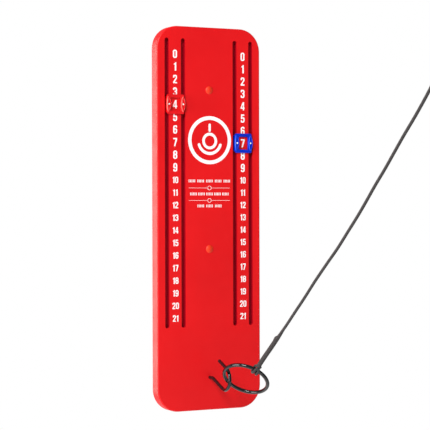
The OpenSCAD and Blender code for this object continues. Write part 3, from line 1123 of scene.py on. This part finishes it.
def screw_head():
    """Pan head with a cross recess, in millimetres, its underside at height 0."""
    rings, sides = 26, 96
    flat = HEAD_RADIUS - HEAD_EASE
    verts = []
    for i in range(rings + 1):
        r = HEAD_RADIUS * (1 - i / rings)
        drop = HEAD_EASE - math.sqrt(max(0, HEAD_EASE ** 2 - max(0, r - flat) ** 2))
        for k in range(sides):
            t = 2 * math.pi * k / sides
            x, y = r * math.cos(t), r * math.sin(t)
            arm = min(abs(x), abs(y))
            reach = max(abs(x), abs(y))
            beside = min(1, max(0, (RECESS_HALF_WIDTH - arm) / 0.25))
            beyond = min(1, max(0, (RECESS_REACH - reach) / 0.9))
            verts.append(Vector((x, y, HEAD_HEIGHT - drop - RECESS_DEPTH * beside * beyond)))
    faces = tube_faces(rings + 1, sides)
    base = len(verts)
    verts += [Vector((v.x, v.y, 0)) for v in verts[:sides]]
    for k in range(sides):
        n = (k + 1) % sides
        faces.append((base + k, base + n, n, k))
    faces.append(tuple(base + k for k in range(sides - 1, -1, -1)))
    return verts, faces


SCREW_CORE = 1.5 * MM
SCREW_NECK = 1.7 * MM
SCREW_NECK_LENGTH = 10.4 * MM
SCREW_POINT = 4.4 * MM
SCREW_STEP = 0.17 * MM


def make_wall_screw(node):
    """A wood screw through the board, its head below the cap."""
    low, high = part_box(node)
    head_under = low.y + HEAD_HEIGHT * MM
    x, z = (low.x + high.x) / 2, (low.z + high.z) / 2
    head_verts, head_faces = screw_head()
    head = [Vector((x + v.x * MM, head_under - v.z * MM, z + v.y * MM)) for v in head_verts], head_faces
    inside = 0.4 * MM
    length = high.y - head_under
    count = round(length / SCREW_STEP)
    path = [Vector((x, head_under - inside + (length + inside) * i / count, z)) for i in range(count + 1)]
    thread = threaded(SCREW_CORE, SCREW_NECK_LENGTH, length - 0.4 * MM)

    def shank(run, angle):
        return SCREW_NECK if run < SCREW_NECK_LENGTH - 0.6 * MM else thread(run, angle)

    rod = sweep(path, pointed(shank, length + inside, SCREW_POINT), 36)
    mesh = mesh_from(node + "_visual", *joined([head, rod]))
    piece = finish_mesh(node + "_visual", mesh, ZINC_STEEL, "root")
    mesh.set_sharp_from_angle(angle=math.radians(50))
    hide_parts(node)


make_wall_screw("upper_wall_screw")
make_wall_screw("lower_wall_screw")


# ---------------------------------------------------------------- stage and light

FLOOR_DROP = 0.9
FLOOR_HALF = 3.0
SURROUND_LIGHT = 0.26
BOARD_MIDDLE = (0, 0, -0.05)


def make_stage():
    """A plain pale floor well below the wall-hung board."""
    low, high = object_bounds()
    centre = (Vector(low) + Vector(high)) / 2
    corners = [(centre.x + x * FLOOR_HALF, centre.y + y * FLOOR_HALF, low[2] - FLOOR_DROP)
               for x, y in ((-1, -1), (1, -1), (1, 1), (-1, 1))]
    mesh = mesh_from("floor", corners, [(0, 1, 2, 3)])
    n = Nodes("pale_floor")
    n.link(n.blend(n.noise(3, 2), (0.86, 0.86, 0.86), (0.9, 0.9, 0.9)), n.shader.inputs["Base Color"])
    n.set(Roughness=0.7, Emission_Color=(1, 1, 1, 1), Emission_Strength=0.22)
    floor = bpy.data.objects.new("floor", mesh)
    mesh.materials.append(n.material)
    scene.collection.objects.link(floor)


def area_light(name, place, aim, width, height, power, colour=(1, 1, 1)):
    """A soft box of this size and power, turned to a point."""
    data = bpy.data.lights.new(name, "AREA")
    data.shape = "RECTANGLE"
    data.size = width
    data.size_y = height
    data.energy = power
    data.color = colour
    lamp = bpy.data.objects.new(name, data)
    lamp.location = place
    direction = Vector(aim) - Vector(place)
    lamp.rotation_euler = direction.to_track_quat("-Z", "Y").to_euler()
    scene.collection.objects.link(lamp)


def make_lights():
    """A white surround that lights less than it shows, and four soft boxes."""
    world = bpy.data.worlds.new("studio")
    scene.world = world
    world.use_nodes = True
    tree = world.node_tree
    background = tree.nodes["Background"]
    seen = tree.nodes.new("ShaderNodeLightPath")
    strength = tree.nodes.new("ShaderNodeMapRange")
    strength.inputs["To Min"].default_value = SURROUND_LIGHT
    strength.inputs["To Max"].default_value = 1.0
    tree.links.new(seen.outputs["Is Camera Ray"], strength.inputs["Value"])
    tree.links.new(strength.outputs["Result"], background.inputs["Strength"])
    background.inputs["Color"].default_value = (1, 1, 1, 1)
    area_light("key", (-1.7, -1.5, 1.3), BOARD_MIDDLE, 0.8, 0.8, 64)
    area_light("side", (-1.6, -0.15, 0.1), BOARD_MIDDLE, 0.8, 1.4, 30)
    area_light("edge", (-0.9, 1.5, 0.0), BOARD_MIDDLE, 1.0, 1.4, 18, (1, 0.90, 0.80))
    area_light("low_fill", (0.3, -1.6, -1.3), (0, 0, -0.2), 0.5, 0.5, 6)


make_stage()
make_lights()
